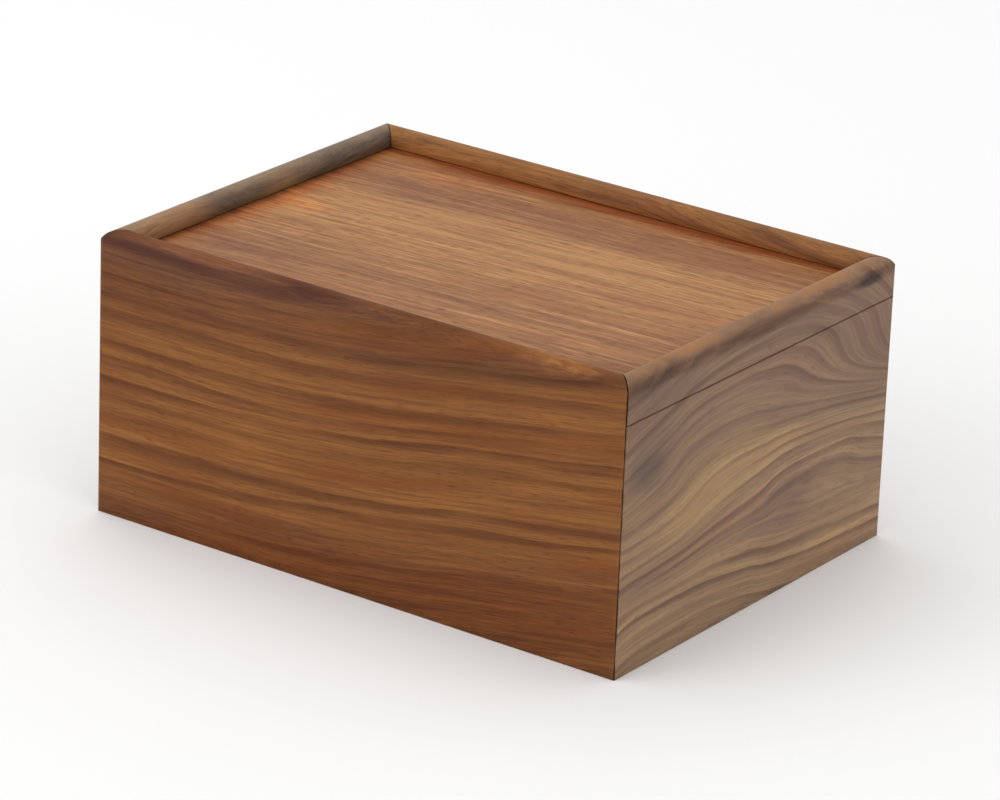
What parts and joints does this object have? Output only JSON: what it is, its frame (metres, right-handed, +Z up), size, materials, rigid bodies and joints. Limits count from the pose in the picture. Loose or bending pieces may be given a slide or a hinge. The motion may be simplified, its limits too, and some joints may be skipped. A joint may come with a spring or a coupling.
{
  "type": "slide-top chess box",
  "caption": "Rectangular wooden box with mitred corners, a half-round rim and a sunk lid that slides out at one end, for storing chessmen in baize-lined compartments.",
  "frame": {"origin": "middle of the footprint, on the surface that the box stands on", "axes": "+X the way the lid slides out, +Y towards the back long wall, +Z up"},
  "size_m": [0.216, 0.159, 0.102],
  "materials": {
    "side_wood": "satin lacquer over streaked reddish-brown hardwood",
    "end_wood": "satin lacquer over greyer brown hardwood with arched figure",
    "lid_wood": "satin lacquer over fine straight-grained brown hardwood",
    "base_wood": "plain brown hardwood, lightly sealed",
    "divider_wood": "plain brown hardwood, lightly sealed",
    "spline_wood": "bare pale hardwood",
    "baize": "napped green wool baize"
  },
  "bodies": {
    "case": {"front_wall": "side_wood", "back_wall": "side_wood", "far_end_wall": "end_wood", "near_end_wall": "end_wood", "base_panel": "base_wood", "divider": "divider_wood", "near_front_spline": "spline_wood", "near_back_spline": "spline_wood", "far_front_spline": "spline_wood", "far_back_spline": "spline_wood", "near_floor_baize": "baize", "far_floor_baize": "baize"},
    "lid": {"lid_panel": "lid_wood", "lid_end_strip": "end_wood"}
  },
  "joints": [
    {"name": "lid_slide", "type": "slide", "parent": "case", "child": "lid", "axis": [1, 0, 0], "range_m": [0, 0.206]}
  ]
}
